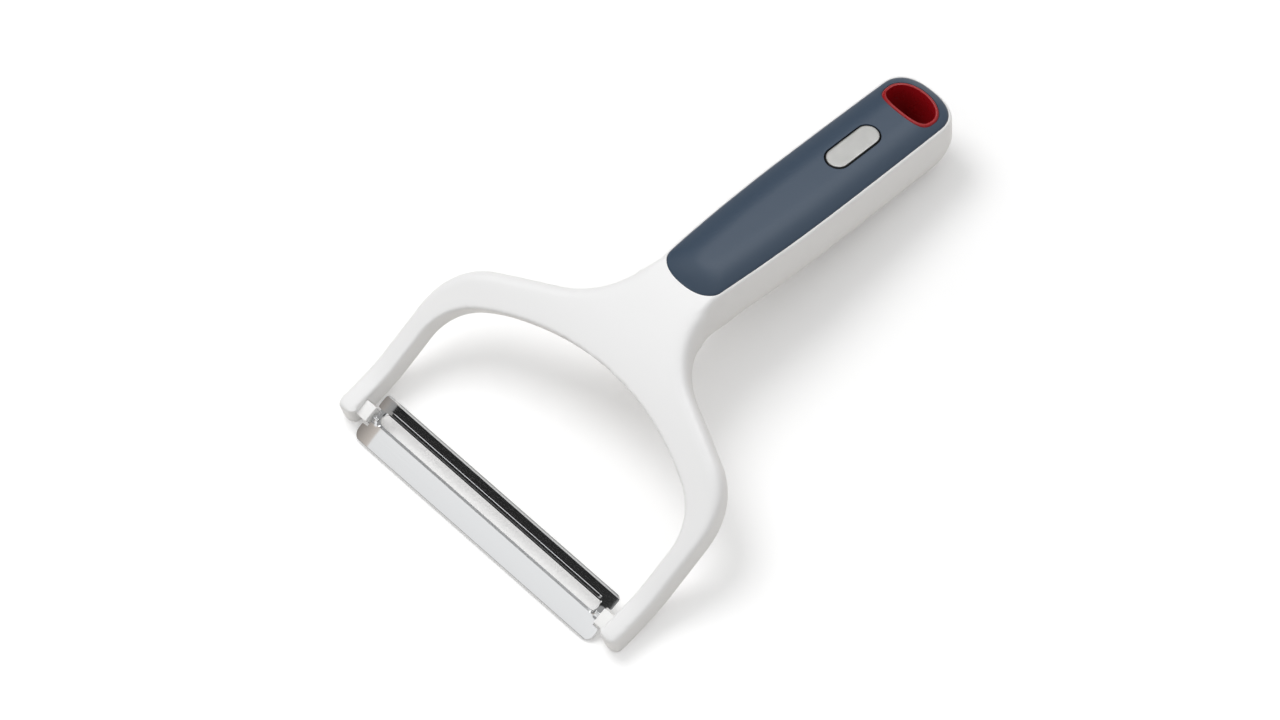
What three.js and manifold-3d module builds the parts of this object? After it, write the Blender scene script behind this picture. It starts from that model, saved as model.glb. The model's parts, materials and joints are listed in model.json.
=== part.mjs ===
// Extra-wide Y-shaped swivel peeler: one white moulding makes the two arms, the neck and the hollow
// handle. A soft grip on a stiff core closes the handle's top, a lined hang hole runs through its end,
// a plain pill badge sits in the grip, and a slotted blade swivels on two pins at the arm tips.
// Millimetres, +Z up, +X along the blade, +Y from the blade towards the hang hole.
import * as THREE from 'three';
import { mergeVertices } from 'three/addons/utils/BufferGeometryUtils.js';
import Module from 'manifold-3d';

const wasm = await Module();
wasm.setup();

const degrees = Math.PI / 180;
const quarterTurn = Math.PI / 2;

// Side profile of the top face, from the arm tips over the neck to the end of the handle
const tipReach = 4.6; // arm tip ahead of the blade's pivot axis
const tipTopHeight = 8.9;
const tipSlope = 10 * degrees;
const tipLength = 8.7;
const footRadius = 40;
const armSlope = 28.5 * degrees;
const armLength = 29.8;
const neckRadius = 85;
const handleSlope = -8.6 * degrees;

// Yoke outline on the unrolled top face: across X, and along the profile from the arm tips
const armInnerHalf = 53;
const armWidth = 6.6;
const innerCornerRadius = 15;
const archRadius = 84.3;
const archApex = 60.4;
const shoulderStart = 37.8;
const shoulderRadius = 24;
const flankSlope = 27 * degrees;
const neckFilletRadius = 30;
const neckHalf = 11.2;
const neckOverlap = 2; // how far the yoke runs on past the round front of the grip
const tipRadius = 3;
const armDepth = 10.2;
const neckDepth = 19.5;
const chinStart = 48; // the underside deepens from here
const chinEnd = 108; // and meets the handle's here
const yokeTopRound = 2.4;
const yokeBottomRound = 2;
const neckBottomRound = 7;
const neckRoundStart = 80; // where the lower outer edge begins to round off

// Handle outline, along the same profile, and its section below the top face
const gripFront = 95;
const gripEnd = 205.6;
const gripFrontHalf = 10.1;
const gripBellyHalf = 12.4;
const gripTailHalf = 12;
const bellyPosition = 150;
const noseLength = 6.5;
const noseFullness = 2.3;
const tailLength = 9.5;
const tailFullness = 2.4;
const rimWidth = 0.9;
const rimEdge = 0.4;
const rimDrop = 0.06; // rim just below the neck's top face
const flare = 1.8;
const flareDepth = 9;
const handleDepth = 27;
const keelHalf = 2.4; // half-width left at the very bottom of the handle
const frontRound = 16;
const endRound = 9;

// Hollow of the handle, its stiff core and the crown of the grip
const gripInset = 2.4;
const gripLedge = 1.6;
const coreThickness = 2;
const coreLedge = 1.8;
const handleWall = 3;
const hangWall = 2.5;
const coreRibDepth = 7;
const coreRibWidth = 1.6;
const coreRibSpacing = 9;
const coreRibMargin = 14;
const crownHeight = 2.7;
const crownFlat = 3.2; // half-width left flat along the middle

// Hang hole, a rounded D across the handle
const hangHalfWidth = 9.8;
const hangFrontDepth = 6.3;
const hangRearDepth = 6.8;
const hangEndGap = 2.9; // grip left behind the hole
const hangPosition = gripEnd - hangEndGap - hangRearDepth;
const hangFrontFullness = 2.9;
const hangRearFullness = 2.1;
const linerWall = 1.2;

// Badge and the adhesive pad under it
const badgeLength = 20.7;
const badgeHangGap = 9.85; // grip left between the badge and the hole
const badgePosition = hangPosition - hangFrontDepth - badgeHangGap - badgeLength / 2;
const badgeWidth = 7.5;
const badgeThickness = 1.2;
const badgeEdge = 0.3;
const badgeProud = 0.3;
const badgeGap = 0.4;
const padThickness = 0.4;

// Blade, and the blocks and pins that carry it
const pivotHeight = 5.2;
const bladeTilt = 22.5 * degrees;
const bladeSideGap = 2.3;
const guideSideGap = 3;
const guideEdge = 8.2;
const frontEdge = 8.7;
const bladeThickness = 0.8;
const guideCornerRadius = 1.6;
const frontCornerRadius = 3;
const slotRear = 3.3;
const slotFront = 0.7;
const webWidth = 2.1;
const bevelWidth = 0.8;
const cuttingThickness = 0.15;
const frontDrop = 1.1;
const lipWidth = 0.8;
const lipHeight = 0.5;
const ribEndGap = 5;
const ribWidth = 1.1;
const ribHeight = 0.4;
const ribSetback = 0.5; // rib behind the slot
const eyeRadius = 1.5;
const eyeSetback = 0.3; // eye short of the slot's end
const pinRadius = 0.7;
const pinArmDepth = 0.9; // pin beyond the block, into the arm
const blockLength = 5.4;
const blockHeight = 5;
const blockProud = 4;
const blockSocket = 3.6;
const swivelGap = 0.5;

// Clearances
const fitGap = 0.25;
const pinGap = 0.25;
const seatGap = 0.25;
const padGap = 0.1;

// Fineness of the curves
const capSteps = 6;
const handleSteps = 9;
const sectionSteps = 6;
const crownSteps = 4;
const filletSteps = 3;
const faceSteps = 5;
const armSteps = 6;
const cornerSteps = 6;
const archSteps = 16;
const ovalSteps = 36;
const arcSteps = 6;
const roundSteps = 16;

const whitePlastic = { color: 0xf2f2f1, roughness: 0.35, metalness: 0 };
const polishedSteel = { color: 0xcfd1d3, roughness: 0.18, metalness: 1 };

function piece(name, body, finish) {
  const mesh = new THREE.Mesh(geometryOf(body), new THREE.MeshStandardMaterial(finish));
  mesh.name = name;
  return mesh;
}

// Closed geometry to solid and back
function solid(geometry) {
  const bare = geometry.clone();
  bare.deleteAttribute('normal');
  bare.deleteAttribute('uv');
  const merged = mergeVertices(bare, 1e-4);
  const vertProperties = new Float32Array(merged.attributes.position.array);
  const triVerts = new Uint32Array(merged.index.array);
  return new wasm.Manifold(new wasm.Mesh({ numProp: 3, vertProperties, triVerts }));
}

function geometryOf(body) {
  const result = body.getMesh();
  const geometry = new THREE.BufferGeometry();
  geometry.setAttribute('position', new THREE.BufferAttribute(result.vertProperties.slice(), 3));
  geometry.setIndex(new THREE.BufferAttribute(result.triVerts.slice(), 1));
  geometry.computeVertexNormals();
  return geometry;
}

function indexedGeometry(points, triangles) {
  const geometry = new THREE.BufferGeometry();
  geometry.setAttribute('position', new THREE.Float32BufferAttribute(points.flat(), 3));
  geometry.setIndex(triangles.flat());
  return geometry;
}

// Side profile: straight runs and arcs, followed by length from the arm tips
const profileRuns = [
  { length: tipLength, from: tipSlope, to: tipSlope },
  { length: footRadius * (armSlope - tipSlope), from: tipSlope, to: armSlope },
  { length: armLength, from: armSlope, to: armSlope },
  { length: neckRadius * (armSlope - handleSlope), from: armSlope, to: handleSlope },
  { length: Infinity, from: handleSlope, to: handleSlope },
];

function profileAt(along) {
  let y = -tipReach;
  let z = tipTopHeight;
  let left = along;
  for (const run of profileRuns) {
    const step = Math.min(left, run.length);
    const turn = (run.to - run.from) / run.length;
    const slope = run.from + turn * step;
    y += turn === 0 ? step * Math.cos(slope) : (Math.sin(slope) - Math.sin(run.from)) / turn;
    z += turn === 0 ? step * Math.sin(slope) : (Math.cos(run.from) - Math.cos(slope)) / turn;
    left -= step;
    if (left <= 0) {
      return { y, z, slope };
    }
  }
}

// Bends a geometry that was made flat: x across, y along the profile, z above the top face
function bend(geometry) {
  const position = geometry.attributes.position;
  for (let i = 0; i < position.count; i += 1) {
    const height = position.getZ(i);
    const { y, z, slope } = profileAt(position.getY(i));
    position.setY(i, y - height * Math.sin(slope));
    position.setZ(i, z + height * Math.cos(slope));
  }
  return geometry;
}

// Straight-walled column on a flat shape, bent with the handle
function column(shape, bottom, top) {
  const settings = { depth: top - bottom, bevelEnabled: false, curveSegments: arcSteps };
  return solid(bend(new THREE.ExtrudeGeometry(shape, settings).translate(0, 0, bottom)));
}

// Yoke edges on the unrolled face, from the arm tip to the middle, in three stretches each
function innerEdge() {
  const cornerX = armInnerHalf - innerCornerRadius;
  const archCentre = archApex - archRadius;
  const cornerY = archCentre + Math.sqrt((archRadius - innerCornerRadius) ** 2 - cornerX ** 2);
  const meeting = Math.atan2(cornerY - archCentre, cornerX);
  const tip = new THREE.Vector2(armInnerHalf, 0);
  return [
    new THREE.LineCurve(tip, new THREE.Vector2(armInnerHalf, cornerY)),
    new THREE.EllipseCurve(cornerX, cornerY, innerCornerRadius, innerCornerRadius, 0, meeting),
    new THREE.EllipseCurve(0, archCentre, archRadius, archRadius, meeting, quarterTurn),
  ];
}

function outerEdge() {
  const outerHalf = armInnerHalf + armWidth;
  const shoulderX = outerHalf - shoulderRadius;
  const shoulderEnd = quarterTurn - flankSlope;
  const flankX = shoulderX + shoulderRadius * Math.cos(shoulderEnd);
  const flankY = shoulderStart + shoulderRadius * Math.sin(shoulderEnd);
  const filletX = neckHalf + neckFilletRadius;
  const flankEndX = filletX - neckFilletRadius * Math.sin(flankSlope);
  const flankEndY = flankY + (flankX - flankEndX) * Math.tan(flankSlope);
  const filletY = flankEndY + neckFilletRadius * Math.cos(flankSlope);
  const filletStart = 3 * quarterTurn - flankSlope;
  const neckEnd = gripFront + noseLength + neckOverlap;
  const side = new THREE.CurvePath();
  side.add(new THREE.LineCurve(
    new THREE.Vector2(flankX, flankY),
    new THREE.Vector2(flankEndX, flankEndY),
  ));
  side.add(new THREE.EllipseCurve(
    filletX, filletY, neckFilletRadius, neckFilletRadius, filletStart, Math.PI, true,
  ));
  side.add(new THREE.LineCurve(
    new THREE.Vector2(neckHalf, filletY),
    new THREE.Vector2(neckHalf, neckEnd),
  ));
  side.add(new THREE.LineCurve(new THREE.Vector2(neckHalf, neckEnd), new THREE.Vector2(0, neckEnd)));
  return [
    new THREE.LineCurve(new THREE.Vector2(outerHalf, 0), new THREE.Vector2(outerHalf, shoulderStart)),
    new THREE.EllipseCurve(shoulderX, shoulderStart, shoulderRadius, shoulderRadius, 0, shoulderEnd),
    side,
  ];
}

// Stations along an edge, closer together where the tip is rounded
function edgePoints(curves) {
  const counts = [armSteps, cornerSteps, archSteps];
  const points = curves.flatMap((curve, i) => curve.getSpacedPoints(counts[i]).slice(1));
  const tip = curves[0].getPoint(0);
  for (let i = filletSteps; i >= 0; i -= 1) {
    const along = tipRadius * (1 - Math.cos((quarterTurn * i) / filletSteps));
    points.unshift(new THREE.Vector2(tip.x, along));
  }
  return points;
}

// How far the sides of an arm draw in near its tip
function tipDraw(along) {
  const left = Math.max(tipRadius - along, 0);
  return tipRadius - Math.sqrt(tipRadius ** 2 - left ** 2);
}

// Depth of the yoke: even along the arms, deeper under the neck
function yokeDepth(along) {
  const share = THREE.MathUtils.smoothstep(along, chinStart, chinEnd);
  return armDepth + (neckDepth - armDepth) * share;
}

function fillet(centreX, centreZ, radius, from) {
  const points = [];
  for (let i = 0; i <= filletSteps; i += 1) {
    const angle = from - (quarterTurn * i) / filletSteps;
    points.push([centreX + radius * Math.cos(angle), centreZ + radius * Math.sin(angle)]);
  }
  return points;
}

// Rounding of the yoke's lower outer edge, larger where it meets the round handle
function outerRound(along) {
  const share = THREE.MathUtils.smoothstep(along, neckRoundStart, chinEnd);
  return yokeBottomRound + (neckBottomRound - yokeBottomRound) * share;
}

// Face of one yoke section with its two rounded edges, as [across, height] from the first edge
function yokeFace(width, firstRound, lastRound) {
  const points = fillet(firstRound, -firstRound, firstRound, Math.PI);
  for (let i = 1; i < faceSteps; i += 1) {
    points.push([firstRound + ((width - firstRound - lastRound) * i) / faceSteps, 0]);
  }
  points.push(...fillet(width - lastRound, -lastRound, lastRound, quarterTurn));
  return points;
}

function yokeRing({ start, end, mirror }) {
  const width = start.distanceTo(end);
  const draw = tipDraw(start.y);
  const spread = (width - 2 * draw) / width;
  const spotAt = (across) => start.clone().lerp(end, (draw + across * spread) / width);
  const top = yokeFace(width, yokeTopRound, yokeTopRound).map(([across, height]) => {
    const { x, y } = spotAt(across);
    return [mirror * x, y, height];
  });
  const low = yokeFace(width, outerRound(end.y), yokeBottomRound).map(([across, height]) => {
    const { x, y } = spotAt(width - across);
    return [mirror * x, y, -height - yokeDepth(y)];
  });
  return [...top, ...low];
}

// Arms and neck in one band, from the right arm's tip round to the left arm's
function yokeBand() {
  const inner = edgePoints(innerEdge());
  const outer = edgePoints(outerEdge());
  const right = inner.map((start, i) => ({ start, end: outer[i], mirror: 1 }));
  const left = right.slice(0, -1).reverse().map((station) => ({ ...station, mirror: -1 }));
  const rings = [...right, ...left].map(yokeRing);
  const count = rings[0].length;
  const triangles = [];
  for (let k = 0; k + 1 < rings.length; k += 1) {
    for (let j = 0; j < count; j += 1) {
      const a = k * count + j;
      const b = k * count + ((j + 1) % count);
      triangles.push([a, b, b + count], [a, b + count, a + count]);
    }
  }
  const last = (rings.length - 1) * count;
  for (let j = 1; j + 1 < count; j += 1) {
    triangles.push([0, j + 1, j], [last, last + j, last + j + 1]);
  }
  return solid(bend(indexedGeometry(rings.flat(), triangles)));
}

// Half-width of the grip along the handle
function gripHalf(along) {
  const ahead = along < bellyPosition;
  const endHalf = ahead ? gripFrontHalf : gripTailHalf;
  const endPlace = ahead ? gripFront : gripEnd;
  const share = (along - bellyPosition) / (endPlace - bellyPosition);
  return gripBellyHalf - (gripBellyHalf - endHalf) * share ** 2;
}

// Right half of the handle outline, from its front to its end, grown outwards
function handleSide(grow, frontGrow, endGrow) {
  const front = gripFront - frontGrow;
  const end = gripEnd + endGrow;
  const side = [];
  for (let i = 0; i < capSteps; i += 1) {
    const angle = (quarterTurn * i) / capSteps;
    const along = front + noseLength * (1 - Math.cos(angle) ** (2 / noseFullness));
    side.push([(gripHalf(along) + grow) * Math.sin(angle) ** (2 / noseFullness), along]);
  }
  for (let i = 0; i <= handleSteps; i += 1) {
    const along = THREE.MathUtils.lerp(front + noseLength, end - tailLength, i / handleSteps);
    side.push([gripHalf(along) + grow, along]);
  }
  for (let i = capSteps - 1; i >= 0; i -= 1) {
    const angle = (quarterTurn * i) / capSteps;
    const along = end - tailLength * (1 - Math.cos(angle) ** (2 / tailFullness));
    side.push([(gripHalf(along) + grow) * Math.sin(angle) ** (2 / tailFullness), along]);
  }
  return side;
}

// Solid stacked from handle outlines, top layer first: height, and growth at sides, front and end
function handleStack(layers) {
  const rings = layers.map(({ height, grow, front = grow, end = grow }) => {
    const right = handleSide(grow, front, end).map(([x, y]) => [x, y, height]);
    const left = right.slice(1, -1).reverse().map(([x, y]) => [-x, y, height]);
    return [...right, ...left];
  });
  const count = rings[0].length;
  const bottom = (rings.length - 1) * count;
  const triangles = [];
  for (let k = 0; k + 1 < rings.length; k += 1) {
    for (let j = 0; j < count; j += 1) {
      const a = k * count + j;
      const b = k * count + ((j + 1) % count);
      triangles.push([a + count, b + count, b], [a + count, b, a]);
    }
  }
  for (let i = 0; i < count / 2; i += 1) {
    const across = (count - i) % count;
    const ahead = count - i - 1;
    if (i > 0) {
      triangles.push([i, i + 1, across], [bottom + i, bottom + across, bottom + i + 1]);
    }
    if (i + 1 < count / 2) {
      triangles.push([i + 1, ahead, across], [bottom + i + 1, bottom + across, bottom + ahead]);
    }
  }
  return solid(bend(indexedGeometry(rings.flat(), triangles)));
}

const coreTop = -gripInset;
const coreBottom = coreTop - coreThickness;
const cavityTop = coreBottom - seatGap;
const cavityInset = gripLedge + coreLedge;
const openTop = crownHeight + handleDepth;
const hangBack = hangPosition - hangFrontDepth - hangWall;

// Outside of the handle: rim, flared sides and a round underside
function handleBody() {
  const layers = [
    { height: -rimDrop, grow: rimWidth - rimEdge },
    { height: -rimDrop - rimEdge, grow: rimWidth },
  ];
  const widest = gripBellyHalf + flare;
  for (let i = 0; i <= sectionSteps; i += 1) {
    const angle = (quarterTurn * i) / sectionSteps;
    const half = Math.max(widest * Math.cos(angle), keelHalf);
    const front = flare - frontRound * (1 - Math.cos(angle));
    const end = flare - endRound * (1 - Math.cos(angle));
    const height = -flareDepth - (handleDepth - flareDepth) * Math.sin(angle);
    layers.push({ height, grow: half - gripBellyHalf, front, end });
  }
  return handleStack(layers);
}

// Space inside the handle: pocket of the grip, seat of the core and the cavity below
function handleHollow() {
  const pocket = handleStack([
    { height: openTop, grow: fitGap },
    { height: -gripInset, grow: fitGap },
  ]);
  const seat = handleStack([
    { height: 0, grow: -gripLedge },
    { height: cavityTop, grow: -gripLedge },
  ]);
  const back = hangBack - gripEnd;
  const layers = [{ height: coreTop, grow: -cavityInset, end: back }];
  const widest = gripBellyHalf + flare - handleWall;
  for (let i = 0; i < sectionSteps; i += 1) {
    const angle = (quarterTurn * i) / sectionSteps;
    const grow = Math.min(widest * Math.cos(angle) - gripBellyHalf, -cavityInset);
    const height = -flareDepth - (handleDepth - flareDepth - handleWall) * Math.sin(angle);
    layers.push({ height, grow, end: back });
  }
  return pocket.add(seat).add(handleStack(layers));
}

// Crowned top of the grip, down to its seat
function gripBody() {
  const layers = [];
  for (let i = crownSteps; i >= 0; i -= 1) {
    const inset = ((gripBellyHalf - crownFlat) * i) / crownSteps;
    const across = (gripBellyHalf - crownFlat - inset) / (gripBellyHalf - crownFlat);
    layers.push({ height: crownHeight * (1 - across ** 2), grow: -inset });
  }
  layers.push({ height: -gripInset + seatGap, grow: 0 });
  return handleStack(layers);
}

// Rounded D of the hang hole
function hangShape(grow) {
  const points = [];
  for (let i = 0; i < ovalSteps; i += 1) {
    const angle = (4 * quarterTurn * i) / ovalSteps;
    const rear = Math.sin(angle) >= 0;
    const power = 2 / (rear ? hangRearFullness : hangFrontFullness);
    const depth = (rear ? hangRearDepth : hangFrontDepth) + grow;
    const x = (hangHalfWidth + grow) * Math.sign(Math.cos(angle)) * Math.abs(Math.cos(angle)) ** power;
    const y = depth * Math.sign(Math.sin(angle)) * Math.abs(Math.sin(angle)) ** power;
    points.push(new THREE.Vector2(x, hangPosition + y));
  }
  return new THREE.Shape(points);
}

function hangColumn(grow) {
  return column(hangShape(grow), -handleDepth - openTop, openTop);
}

// Shape with two straight sides and round ends, along X
function stadium(length, width) {
  const radius = width / 2;
  const centre = length / 2 - radius;
  const shape = new THREE.Shape();
  shape.absarc(centre, 0, radius, -quarterTurn, quarterTurn);
  shape.absarc(-centre, 0, radius, quarterTurn, 3 * quarterTurn);
  return shape;
}

function pillShape(grow) {
  const shape = stadium(badgeLength + 2 * grow, badgeWidth + 2 * grow);
  return new THREE.Shape(shape.getPoints(arcSteps).map(({ x, y }) => (
    new THREE.Vector2(-y, badgePosition + x)
  )));
}

// Turns and lifts a geometry from the blade's own frame: y towards the handle, z out of its face
const swivelFrame = new THREE.Matrix4().makeRotationX(bladeTilt).setPosition(0, 0, pivotHeight);

function pinAlongX(radius, from, to) {
  const geometry = new THREE.CylinderGeometry(radius, radius, Math.abs(to - from), roundSteps);
  return geometry.rotateZ(quarterTurn).translate((from + to) / 2, 0, 0);
}

function blockBox(side, grow) {
  const length = blockProud + blockSocket + grow;
  const box = new THREE.BoxGeometry(length, blockLength + 2 * grow, blockHeight + 2 * grow);
  return box.translate(side * (armInnerHalf - blockProud + length / 2), 0, 0);
}

const blockFace = armInnerHalf - blockProud;
const notchHalf = blockFace - swivelGap;
const slotHalf = notchHalf - webWidth;
const eyeStart = slotHalf + eyeSetback;
const pinEnd = armInnerHalf + blockSocket + pinArmDepth;

// Outline of the blade with a notch round each block
function bladeOutline() {
  const notch = blockLength / 2 + swivelGap;
  const frontHalf = armInnerHalf - bladeSideGap;
  const guideHalf = armInnerHalf - guideSideGap;
  const shape = new THREE.Shape();
  shape.moveTo(notchHalf, -notch);
  shape.lineTo(notchHalf, notch);
  shape.lineTo(guideHalf, notch);
  shape.absarc(guideHalf - guideCornerRadius, guideEdge - guideCornerRadius,
    guideCornerRadius, 0, quarterTurn);
  shape.absarc(guideCornerRadius - guideHalf, guideEdge - guideCornerRadius,
    guideCornerRadius, quarterTurn, 2 * quarterTurn);
  shape.lineTo(-guideHalf, notch);
  shape.lineTo(-notchHalf, notch);
  shape.lineTo(-notchHalf, -notch);
  shape.lineTo(-frontHalf, -notch);
  shape.absarc(frontCornerRadius - frontHalf, frontCornerRadius - frontEdge,
    frontCornerRadius, 2 * quarterTurn, 3 * quarterTurn);
  shape.absarc(frontHalf - frontCornerRadius, frontCornerRadius - frontEdge,
    frontCornerRadius, 3 * quarterTurn, 4 * quarterTurn);
  shape.lineTo(frontHalf, -notch);
  return shape;
}

// Section of the blade: raised lip at the guide's edge, ground cutting edge, drooping front
function bladeSection() {
  const face = bladeThickness / 2;
  const bevelEnd = -slotFront - bevelWidth;
  const shape = new THREE.Shape();
  shape.moveTo(guideEdge, -face);
  shape.lineTo(guideEdge, face + lipHeight);
  shape.lineTo(guideEdge - lipWidth, face);
  shape.lineTo(slotRear, face);
  shape.lineTo(-slotFront, cuttingThickness - face);
  shape.lineTo(bevelEnd, face);
  shape.quadraticCurveTo(-frontEdge / 2, face, -frontEdge, face - frontDrop);
  shape.lineTo(-frontEdge, -face - frontDrop);
  shape.quadraticCurveTo(-frontEdge / 2, -face, bevelEnd, -face);
  return shape;
}

function bladeBody() {
  const half = armInnerHalf - bladeSideGap;
  const depth = 2 * half;
  const section = new THREE.ExtrudeGeometry(bladeSection(), {
    depth, bevelEnabled: false, curveSegments: arcSteps,
  });
  const alongX = new THREE.Matrix4().makeBasis(
    new THREE.Vector3(0, 1, 0), new THREE.Vector3(0, 0, 1), new THREE.Vector3(1, 0, 0),
  );
  const strip = solid(section.translate(0, 0, -half).applyMatrix4(alongX));
  const reach = guideEdge + frontEdge;
  const tall = { depth: 2 * reach, bevelEnabled: false, curveSegments: arcSteps };
  const outline = solid(new THREE.ExtrudeGeometry(bladeOutline(), tall).translate(0, 0, -reach));
  const slotShape = stadium(2 * slotHalf, slotRear + slotFront);
  const slotMiddle = (slotRear - slotFront) / 2;
  const slot = new THREE.ExtrudeGeometry(slotShape, tall).translate(0, slotMiddle, -reach);
  const ribShape = stadium(2 * (armInnerHalf - guideSideGap - ribEndGap), ribWidth);
  const ribPlace = slotRear + ribSetback + ribWidth / 2;
  const rib = new THREE.ExtrudeGeometry(ribShape, {
    depth: bladeThickness / 2 + ribHeight, bevelEnabled: false, curveSegments: arcSteps,
  });
  let body = strip.intersect(outline).subtract(solid(slot)).add(solid(rib.translate(0, ribPlace, 0)));
  for (const side of [1, -1]) {
    body = body.add(solid(pinAlongX(eyeRadius, side * eyeStart, side * notchHalf)));
  }
  const bore = pinAlongX(pinRadius + pinGap, -half, half);
  const borePast = slotHalf - slotRear;
  const keep = solid(new THREE.BoxGeometry(2 * borePast, reach, reach));
  return body.subtract(solid(bore).subtract(keep));
}

// White moulding: arms, neck and handle shell, hollowed, and flat where it stands
function yokeFrame() {
  let body = yokeBand().add(handleBody());
  body = body.subtract(handleHollow()).subtract(hangColumn(fitGap));
  for (const side of [1, -1]) {
    const bore = pinAlongX(pinRadius + pinGap, side * armInnerHalf, side * (pinEnd + pinGap));
    body = body.subtract(solid(blockBox(side, fitGap).applyMatrix4(swivelFrame)));
    body = body.subtract(solid(bore.applyMatrix4(swivelFrame)));
  }
  return body.subtract(floorBlock());
}

// Everything below the surface that the peeler lies on
function floorBlock() {
  const width = 4 * armInnerHalf;
  const depth = 2 * handleDepth;
  const box = new THREE.BoxGeometry(width, 4 * gripEnd, depth);
  return solid(box.translate(0, 0, -depth / 2));
}

function gripCore() {
  const grow = -gripLedge - fitGap;
  let body = handleStack([{ height: coreTop, grow }, { height: coreBottom, grow }]);
  const ribFront = gripFront + cavityInset + coreRibMargin;
  const ribLength = hangBack - coreRibMargin - ribFront;
  for (const side of [1, -1]) {
    const rib = new THREE.BoxGeometry(coreRibWidth, ribLength, coreRibDepth + coreThickness);
    const height = coreTop - (coreRibDepth + coreThickness) / 2 - padGap;
    rib.translate((side * coreRibSpacing) / 2, ribFront + ribLength / 2, height);
    body = body.add(solid(bend(rib)));
  }
  return body.subtract(hangColumn(fitGap));
}

const badgeTop = crownHeight + badgeProud;
const badgeBottom = badgeTop - badgeThickness;
const padBottom = badgeBottom - padGap - padThickness;

function gripInlay() {
  const recess = column(pillShape(badgeGap), padBottom - padGap, openTop);
  return gripBody().subtract(recess).subtract(hangColumn(fitGap));
}

function hangLiner() {
  const tube = hangColumn(0).subtract(hangColumn(-linerWall));
  return tube.intersect(handleBody().add(gripBody())).subtract(floorBlock());
}

function badgePlate() {
  const settings = {
    depth: badgeThickness - badgeEdge,
    bevelThickness: badgeEdge,
    bevelSize: badgeEdge,
    bevelOffset: -badgeEdge,
    bevelSegments: 2,
  };
  const plate = new THREE.ExtrudeGeometry(pillShape(0), settings).translate(0, 0, badgeBottom);
  const lower = column(pillShape(badgeGap), padBottom - badgeThickness, badgeBottom);
  return solid(bend(plate)).subtract(lower);
}

function badgePad() {
  return column(pillShape(badgeGap - padGap), padBottom, padBottom + padThickness);
}

const peeler = new THREE.Group();
peeler.add(piece('yoke_frame', yokeFrame(), whitePlastic));
peeler.add(piece('grip_core', gripCore(), { color: 0x3a3d40, roughness: 0.6, metalness: 0 }));
peeler.add(piece('grip_inlay', gripInlay(), { color: 0x4b5a69, roughness: 0.65, metalness: 0 }));
peeler.add(piece('hang_hole_liner', hangLiner(), { color: 0xb0151c, roughness: 0.3, metalness: 0 }));
peeler.add(piece('badge_plate', badgePlate(), { color: 0xc9c8c6, roughness: 0.35, metalness: 1 }));
peeler.add(piece('badge_pad', badgePad(), { color: 0x141414, roughness: 0.9, metalness: 0 }));

const swivel = new THREE.Group();
swivel.position.z = pivotHeight;
swivel.rotation.x = bladeTilt;
swivel.add(piece('blade', bladeBody(), polishedSteel));
for (const [name, side] of [['right', 1], ['left', -1]]) {
  const bore = solid(pinAlongX(pinRadius + pinGap, 0, side * 2 * armInnerHalf));
  const block = solid(blockBox(side, 0)).subtract(bore);
  swivel.add(piece(`pivot_block_${name}`, block, whitePlastic));
  const pin = solid(pinAlongX(pinRadius, side * eyeStart, side * pinEnd));
  swivel.add(piece(`pivot_pin_${name}`, pin, polishedSteel));
}
peeler.add(swivel);

// Origin at the middle of the box that the peeler fills, on the surface that it lies on
const box = new THREE.Box3().setFromObject(peeler, true);
peeler.position.set(0, -(box.min.y + box.max.y) / 2, -box.min.z);

export default peeler;
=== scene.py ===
"""Wide swivel peeler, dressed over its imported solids.

A white moulding with two arms and a hollow handle carries a soft grip, a red lined hang hole,
a bare metal badge and a slotted steel blade that swivels between two small blocks.
Sizes are in metres. Flat work is laid out with X across, Y along the side profile from the
arm tips, and Z above the top face, and is then bent along that profile.
"""
import json
import math

import bmesh
import bpy
from mathutils import Matrix, Vector


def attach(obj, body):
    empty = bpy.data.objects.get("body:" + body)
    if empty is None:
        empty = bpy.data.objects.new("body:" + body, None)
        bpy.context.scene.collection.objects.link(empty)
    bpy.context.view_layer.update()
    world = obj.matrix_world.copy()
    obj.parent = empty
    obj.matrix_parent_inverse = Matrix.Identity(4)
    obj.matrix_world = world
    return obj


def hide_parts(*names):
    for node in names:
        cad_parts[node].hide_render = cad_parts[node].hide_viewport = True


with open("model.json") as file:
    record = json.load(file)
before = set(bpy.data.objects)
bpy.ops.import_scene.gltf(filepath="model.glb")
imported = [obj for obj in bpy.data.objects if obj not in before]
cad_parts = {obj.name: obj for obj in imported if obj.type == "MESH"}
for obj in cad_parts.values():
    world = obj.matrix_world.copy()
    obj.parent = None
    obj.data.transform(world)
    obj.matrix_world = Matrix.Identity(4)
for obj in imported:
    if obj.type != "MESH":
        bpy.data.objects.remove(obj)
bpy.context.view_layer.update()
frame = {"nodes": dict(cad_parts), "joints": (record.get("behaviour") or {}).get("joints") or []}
pivot = Vector(frame["joints"][0]["pos_m"])

bl_info = {
    "name": "Wide swivel peeler",
    "version": (1, 0, 0),
    "blender": (4, 5, 0),
    "location": "View3D > Sidebar > Peeler",
    "description": "Builds the pieces of a wide swivel peeler and a plain studio around it",
    "category": "Object",
}

MM = 0.001
QUARTER = math.pi / 2
MERGE = 1e-6  # corners closer than this are one

SEAT = 0.25 * MM  # gap under the grip and under the core
HOLE_WALL = 2.5 * MM  # moulding left between the hang hole and the cavity
HANG_FULLNESS = (2.9, 2.1)  # squareness of the hang hole's front and rear
DRAFT_POWER = 1.5  # how much faster than the depth the hole is drawn in
DRAFT_ALONG = 0.4  # share of that draft along the handle
NECK_LEAD = 9 * MM  # how far ahead the handle's nose is taken where the neck ends
SWELL_ROUND = 1.3  # upper rounding that the swell of the flanks adds, as a share of it
SLICE = 1.5 * MM  # slices of the yoke before it is bent
# Stretch of the profile where the neck is blended into the handle: start, full, fade and end
JOINT = (84 * MM, 97 * MM, 112 * MM, 128 * MM)
JOINT_BELOW = (2 * MM, 7 * MM)  # depths between which that blend sets in
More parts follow.
